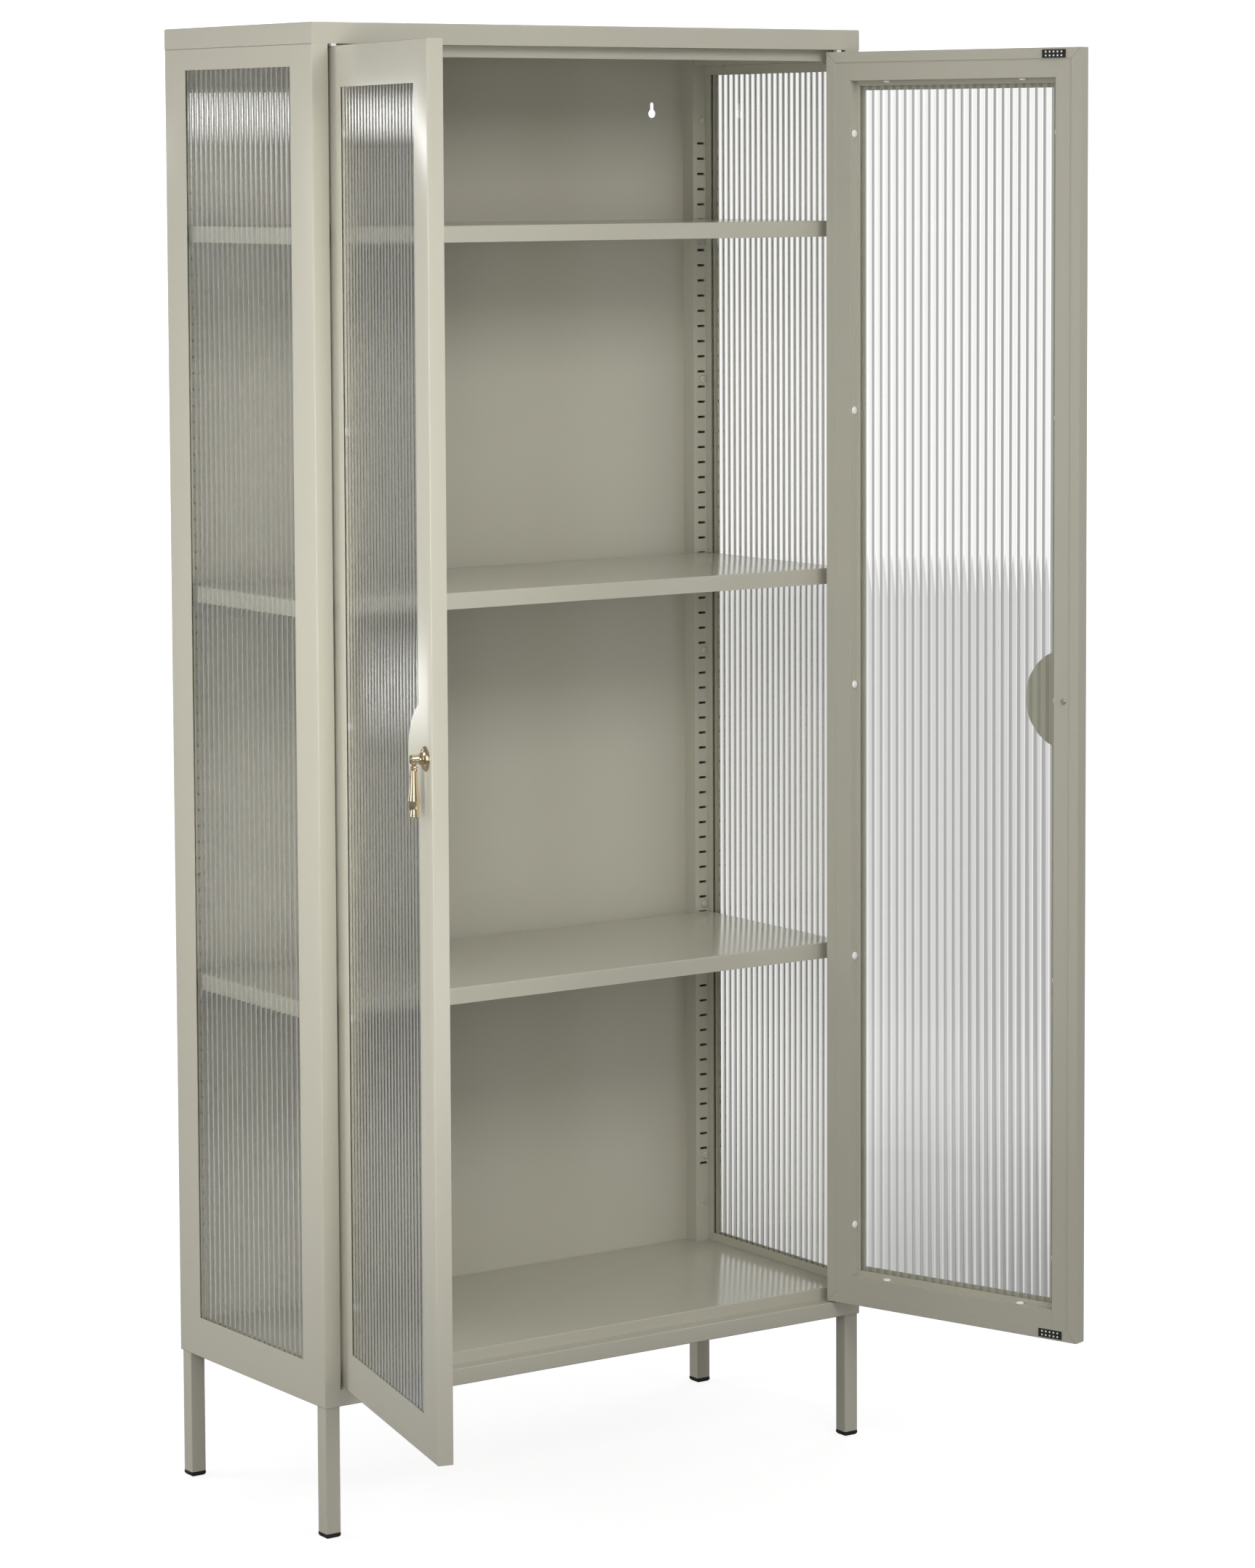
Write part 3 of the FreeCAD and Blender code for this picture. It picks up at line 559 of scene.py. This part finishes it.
dropLook = {
    "bead": [(0.0, 7.8), (2.6, 7.8), (3.8, 8.3), (4.25, 9.3), (3.8, 10.3), (3.3, 10.9), (3.6, 11.5),
             (3.85, 12.0)],
    "body": [(3.85, 12.0), (4.2, 20.0), (4.9, 30.0), (5.9, 40.0), (6.6, 45.2), (6.66, 46.4), (6.3, 48.2)],
    "foot": [(6.3, 48.2), (5.7, 51.5), (5.4, 55.0), (5.65, 58.8), (6.5, 62.7), (6.55, 63.4), (6.4, 64.0)],
    "base": [(6.4, 64.0), (0.0, 64.0)],
    "steps": 7,
    "around": 56,
    "tang": 0.003,
    "eye": 0.0032,
    "neck": 0.004,
    "tangFoot": 0.0084,
    "bore": 0.00105,
    "boreFoot": (1.44, 1.56),
    "sweepPoints": 41,
    "smoothLimit": 50.0,
}


# Between b and c, with a before and d after, the curve is half of
# 2b + (c - a) t + (2a - 5b + 4c - d) t^2 + (3b - a - 3c + d) t^3

def catmullRom(pairs, steps):
    points = np.array(pairs)
    padded = np.concatenate([2 * points[:1] - points[1:2], points, 2 * points[-1:] - points[-2:-1]])
    a, b, c, d = (padded[start:start + len(points) - 1, None] for start in range(4))
    t = (np.arange(steps) / steps)[:, None]
    bend = (2 * a - 5 * b + 4 * c - d) * t**2 + (3 * b - a - 3 * c + d) * t**3
    curve = (2 * b + (c - a) * t + bend) / 2
    return np.concatenate([curve.reshape(-1, 2), points[-1:]])


def dropMesh():
    rows = [catmullRom(dropLook[part], dropLook["steps"])[:-1] for part in ("bead", "body", "foot")]
    profile = np.concatenate([*rows, dropLook["base"]]) * (1, -1) / mmPerMetre
    around = dropLook["around"]
    rings = len(profile) - 2
    tips = np.array([(0.0, 0.0, depth) for depth in profile[[0, -1], 1]])
    points = np.concatenate([tips[:1], turned(profile[1:-1], around), tips[1:]])
    faces = tipFan(1, around, 0) + ringQuads(1, rings, around)
    faces += tipFan(1 + (rings - 1) * around, around, len(points) - 1)
    return points, faces


# Tang: the outline of the eye and neck, and the bore, as rings on both sides, closed into a loop

def tangMesh(first):
    half = dropLook["tang"] / 2
    neck = dropLook["neck"] / 2
    start = math.asin(neck / dropLook["eye"])
    sweep = np.linspace(start - math.pi / 2, 3 * math.pi / 2 - start, dropLook["sweepPoints"])
    foot = [(-neck, -dropLook["tangFoot"]), (neck, -dropLook["tangFoot"])]
    outer = np.concatenate([arc(dropLook["eye"], sweep), foot])
    facingFoot = math.pi * np.array(dropLook["boreFoot"])
    bore = arc(dropLook["bore"], np.concatenate([sweep, facingFoot]))
    rings = [(outer, -half), (outer, half), (bore, half), (bore, -half)]
    points = np.concatenate([np.insert(ring, 0, x, axis=1) for ring, x in rings])
    return points, ringQuads(first, len(rings), len(outer), closed=True)


def pullDrop(hand):
    body = hand + "_pull"
    swing = joints[body + "_swing"]
    points, faces = dropMesh()
    more, moreFaces = tangMesh(len(points))
    drop = meshObject(hand + "Drop", np.concatenate([points, more]), faces + moreFaces)
    axis = Vector(swing["axis"]).normalized()
    sideways = Vector((0, 0, 1)).cross(axis)
    turn = Matrix((axis, sideways, Vector((0, 0, 1)))).transposed().to_4x4()
    drop.data.transform(Matrix.Translation(Vector(swing["pos_m"])) @ turn)
    outwardSmooth(drop, dropLook["smoothLimit"])
    return register(drop, body, "brass", hand + "_pull_drop")


# Rosettes, in millimetres: the flange is the same kind of curve, radius r(s) at height h(s), turned about
# the stem's axis from a straight rim. The stem beyond is a circle less a slot, swept to a bevelled end.

rosetteLook = {
    "rim": (14.4, 0.0),
    "flange": [(14.4, 1.0), (14.1, 1.5), (12.5, 2.9), (10.6, 3.95), (9.0, 4.6), (7.6, 5.35), (6.4, 6.9),
               (5.6, 8.5), (5.4, 9.7), (5.4, 10.3)],
    "steps": 5,
    "around": 64,
    "radius": 5.4,
    "root": 10.0,
    "reach": 18.0,
    "bevel": 0.8,
    "slot": 3.4,
    "slotTop": 3.7,
    "sweepPoints": 57,
    "smoothLimit": 35.0,
}


def flangeMesh():
    curve = catmullRom(rosetteLook["flange"], rosetteLook["steps"])
    curve = np.concatenate([[rosetteLook["rim"]], curve])
    around = rosetteLook["around"]
    points = turned(curve, around)
    ends = [list(range(around)), list(range(len(points) - around, len(points)))]
    return points, ends + ringQuads(0, len(curve), around)


def slottedRing(radius, height):
    half = rosetteLook["slot"] / 2
    start = -math.acos(half / radius)
    sweep = np.linspace(start, math.pi - start, rosetteLook["sweepPoints"])
    slot = [(-half, rosetteLook["slotTop"]), (half, rosetteLook["slotTop"])]
    return np.insert(np.concatenate([arc(radius, sweep), slot]), 2, height, axis=1)


def forkMesh(first):
    radius, bevel = rosetteLook["radius"], rosetteLook["bevel"]
    root, reach = rosetteLook["root"], rosetteLook["reach"]
    levels = [(radius, root), (radius, reach - bevel), (radius - bevel, reach)]
    rings = [slottedRing(*level) for level in levels]
    count = len(rings[0])
    last = first + (len(rings) - 1) * count
    ends = [list(range(first, first + count)), list(range(last, last + count))]
    return np.concatenate(rings), ends + ringQuads(first, len(rings), count)


def pullRosette(hand):
    body = hand + "_door"
    nodeName = hand + "_pull_rosette"
    closed = closedPoints(nodeName, body)
    low, high = closed.min(0), closed.max(0)
    points, faces = flangeMesh()
    more, moreFaces = forkMesh(len(points))
    local = np.concatenate([points, more]) / mmPerMetre
    middle = (low + high) / 2
    across, up, out = local.T
    placed = np.stack([middle[0] + across, high[1] - out, middle[2] + up], 1)
    rosette = meshObject(hand + "Rosette", placed, faces + moreFaces)
    rosette.data.transform(restTurn(body))
    outwardSmooth(rosette, rosetteLook["smoothLimit"])
    return register(rosette, bodyOf[nodeName], "brass", nodeName)


for hand in ("left", "right"):
    pullDrop(hand)
    pullRosette(hand)
print("pulls: 2")


# Remaining CAD pieces keep their own meshes

for nodeName, slotName in slotOf.items():
    if slotName in ("white_plastic", "catch_plate") and not nodeName.endswith("_clips"):
        nodes[nodeName].data.materials.clear()
        nodes[nodeName].data.materials.append(materials[slotName])
print("plain pieces dressed")


# Stage: pale floor that keeps a shadow, white backdrop, grey surround, soft lights. Through glass the
# backdrop is a white strip straight behind, and the floor pales with distance r from where the strip starts,
# level = near + (far - near) (r - start) / reach. To the camera it pales from glow to 1 in the same way.

stageLook = {
    "floor": (0.24, 0.24, 0.24),
    "glow": 0.84,
    "near": 0.52,
    "far": 0.82,
    "start": 1.0,
    "reach": 1.8,
    "dim": 0.38,
    "size": 19.4,
    "white": 1.30,
    "beyond": 0.42,
    "surround": 0.50,
    "mirror": 0.22,
    "strip": (0.41, -0.20, 0.0),
    "heading": 38.0,
    "inner": 5.0,
    "outer": 8.5,
    "steepness": 4.0,
}


def rayKinds(tree):
    outputs = tree.nodes.new("ShaderNodeLightPath").outputs
    kinds = ("Is Camera Ray", "Is Transmission Ray", "Is Glossy Ray")
    return [Wire(tree, outputs[kind]) for kind in kinds]


def whiteStrip(heading):
    turn = math.radians(stageLook["heading"])
    along = (math.sin(turn), math.cos(turn), 0.0)
    aside = (math.cos(turn), -math.sin(turn), 0.0)
    inner, outer = (math.sin(math.radians(stageLook[key])) for key in ("inner", "outer"))
    ahead = heading.vector("DOT_PRODUCT", along, output="Value")
    off = heading.vector("DOT_PRODUCT", aside, output="Value")
    near = (outer - off.maths("ABSOLUTE", off, 0.0)) / (outer - inner)
    return near.clamped() * (ahead * stageLook["steepness"]).clamped()


def stageFloor():
    half = stageLook["size"] / 2
    points = [(-half, -half, 0), (half, -half, 0), (half, half, 0), (-half, half, 0)]
    floor = meshObject("stageFloor", points, [(0, 1, 2, 3)], smooth=False)
    constants = {
        "Base Color": (*stageLook["floor"], 1.0),
        "Roughness": 1.0,
        "Specular IOR Level": 0.0,
        "Emission Strength": 1.0,
    }
    material, shader, place = newMaterial("paleFloor", constants)
    seen, through = rayKinds(material.node_tree)[:2]
    away = place.vector("SUBTRACT", stageLook["strip"])
    heading = away.vector("NORMALIZE")
    distance = away.vector("LENGTH", output="Value")
    pale = ((distance - stageLook["start"]) / stageLook["reach"]).clamped()
    shade = stageLook["dim"] + whiteStrip(heading) * (1 - stageLook["dim"])
    # Painted shadow: seen through glass, the floor is darker near the cabinet and pales with distance
    throughLevel = stageLook["near"] + pale * (stageLook["far"] - stageLook["near"])
    level = seen * (stageLook["glow"] + pale * (1.0 - stageLook["glow"]))
    level = level + through * shade * throughLevel
    level.blend((0, 0, 0), (1, 1, 1)).into(shader.inputs["Emission Color"])
    floor.data.materials.append(material)


def surround():
    world = bpy.data.worlds.new("surround")
    world.use_nodes = True
    bpy.context.scene.world = world
    tree = world.node_tree
    backdrop = tree.nodes["Background"]
    backdrop.inputs["Color"].default_value = (1.0, 1.0, 1.0, 1.0)
    seen, through, mirrored = rayKinds(tree)
    heading = Wire(tree, tree.nodes.new("ShaderNodeTexCoord").outputs["Generated"])
    behind = stageLook["beyond"] + whiteStrip(heading) * (stageLook["white"] - stageLook["beyond"])
    level = stageLook["surround"] + seen * (stageLook["white"] - stageLook["surround"])
    level = level + through * (behind - stageLook["surround"])
    level = level + mirrored * (1.0 - through) * (stageLook["mirror"] - stageLook["surround"])
    level.into(backdrop.inputs["Strength"])


# Cards that only reflections see, so that the glass and paint have soft highlights. With u and v from -1 to
# 1 across and up the card, glow = strength (1 - u^2) fade(v); fade is (1 - v^2)^2, or ((1 + v) / 2)^2 where
# the card leans, brightest at its upper edge. All face the left door.

cardLook = {
    "facing": (-0.42, -0.2),
    "cards": {
        "highCard": {"middle": (-1.1, 3.1, 1.725), "size": (1.6, 0.12), "strength": 7.0, "lean": False},
        "tailCard": {"middle": (-2.7, 2.3, 1.52), "size": (1.2, 0.50), "strength": 9.0, "lean": True},
        "lowCard": {"middle": (-0.38, 3.2, 0.64), "size": (0.7, 0.26), "strength": 8.0, "lean": False},
    },
}


def glowCard(name, middle, size, strength, lean):
    width, height = size
    facing = Vector((*cardLook["facing"], middle[2])) - Vector(middle)
    side = facing.normalized().cross(Vector((0, 0, 1))) * (width / 2)
    rise = Vector((0, 0, height / 2))
    ends = [(-1, -1), (1, -1), (1, 1), (-1, 1)]
    points = [Vector(middle) + side * u + rise * v for u, v in ends]
    card = meshObject(name, points, [(0, 1, 2, 3)], smooth=False)
    flatUv = np.array(ends, dtype=float).ravel()
    card.data.uv_layers.new(name="card").data.foreach_set("uv", flatUv)
    constants = {
        "Base Color": (0, 0, 0, 1),
        "Specular IOR Level": 0.0,
        "Emission Strength": strength,
    }
    material, shader, place = newMaterial(name, constants)
    u = place.node("ShaderNodeSeparateXYZ", {0: place.node("ShaderNodeUVMap", {})})
    v = Wire(u.tree, u.socket.node.outputs[1])
    fade = (v + 1.0) / 2.0 if lean else 1.0 - v * v
    glow = fade * fade * (1.0 - u * u)
    glow.blend((0, 0, 0), (1, 1, 1)).into(shader.inputs["Emission Color"])
    card.data.materials.append(material)
    card.visible_camera = False
    card.visible_diffuse = False
    card.visible_transmission = False
    card.visible_shadow = False


# Lamps: rectangles that the camera never sees; those not mirrored stay out of reflections too

lampLook = {
    "leftBack": {
        "place": (-2.2, 1.6, 1.2), "target": (-0.4, 0.0, 1.1),
        "size": (1.0, 0.8), "power": 23, "mirrored": False,
    },
    "leftFar": {
        "place": (-3.0, 0.2, 1.15), "target": (-0.4, 0.0, 1.1),
        "size": (1.4, 1.0), "power": 6.3,
    },
    "leftNear": {
        "place": (-1.0, -0.75, 1.1), "target": (-0.4, -0.15, 1.1),
        "size": (0.3, 1.4), "power": 2.9, "spread": 100, "mirrored": False,
    },
    "leftFront": {
        "place": (-2.2, -2.6, 1.2), "target": (-0.2, 0.0, 1.1),
        "size": (1.2, 1.2), "power": 12,
    },
    "frontHigh": {
        "place": (0.0, -2.8, 2.6), "target": (0.0, 0.0, 1.2),
        "size": (1.6, 0.8), "power": 28,
    },
    "frontLow": {
        "place": (0.3, -2.6, 0.35), "target": (0.1, 0.0, 0.5),
        "size": (1.5, 0.4), "power": 2.5,
    },
    "overhead": {
        "place": (0.0, -0.3, 3.4), "target": (0.0, 0.0, 1.0),
        "size": (1.6, 1.6), "power": 5,
    },
    "rightBack": {
        "place": (2.6, 1.2, 1.3), "target": (0.4, 0.0, 1.0),
        "size": (1.2, 1.2), "power": 15, "mirrored": False,
    },
    "behind": {
        "place": (-0.2, 3.0, 1.5), "target": (0.0, 0.2, 1.0),
        "size": (1.2, 1.2), "power": 14, "mirrored": False,
    },
    "rightFront": {
        "place": (2.4, -2.4, 1.0), "target": (0.2, 0.0, 0.9),
        "size": (1.2, 1.2), "power": 3,
    },
}


def areaLight(name, place, target, size, power, spread=180.0, mirrored=True):
    lamp = bpy.data.lights.new(name, "AREA")
    lamp.shape = "RECTANGLE"
    lamp.size, lamp.size_y = size
    lamp.energy = power
    lamp.spread = math.radians(spread)
    obj = bpy.data.objects.new(name, lamp)
    obj.visible_camera = False
    obj.visible_transmission = False
    obj.visible_glossy = mirrored
    obj.location = place
    obj.rotation_euler = (Vector(target) - Vector(place)).to_track_quat("-Z", "Y").to_euler()
    bpy.context.scene.collection.objects.link(obj)


stageFloor()
surround()
for name, look in cardLook["cards"].items():
    glowCard(name, **look)
for name, look in lampLook.items():
    areaLight(name, **look)
print("stage set")


# Camera at the photograph's angle

cameraLook = {
    "place": (-3.19464, -4.862442, 1.635462),
    "yaw": 34.63,
    "pitch": 4.734,
    "roll": 0.255,
    "focal": 6415.025,
    "photoHeight": 2156.0,
    "sensor": 36.0,
    "shiftUp": -0.15,
    "clipEnd": 200.0,
}


def photoCamera():
    yaw, pitch, roll = (math.radians(cameraLook[key]) for key in ("yaw", "pitch", "roll"))
    level = math.cos(pitch)
    forward = Vector((math.sin(yaw) * level, math.cos(yaw) * level, -math.sin(pitch)))
    right = Vector((math.cos(yaw), -math.sin(yaw), 0.0))
    down = forward.cross(right)
    rolledRight = right * math.cos(roll) + down * math.sin(roll)
    rolledDown = down * math.cos(roll) - right * math.sin(roll)
    lens = bpy.data.cameras.new("photoCamera")
    lens.sensor_width = cameraLook["sensor"]
    lens.lens = cameraLook["focal"] / cameraLook["photoHeight"] * lens.sensor_width
    lens.shift_y = cameraLook["shiftUp"]
    lens.clip_end = cameraLook["clipEnd"]
    camera = bpy.data.objects.new("photoCamera", lens)
    turn = Matrix((rolledRight, -rolledDown, -forward)).transposed().to_4x4()
    camera.matrix_world = Matrix.Translation(Vector(cameraLook["place"])) @ turn
    bpy.context.scene.collection.objects.link(camera)
    bpy.context.scene.camera = camera


photoCamera()
bpy.context.scene.view_settings.view_transform = "Standard"
print("camera set")
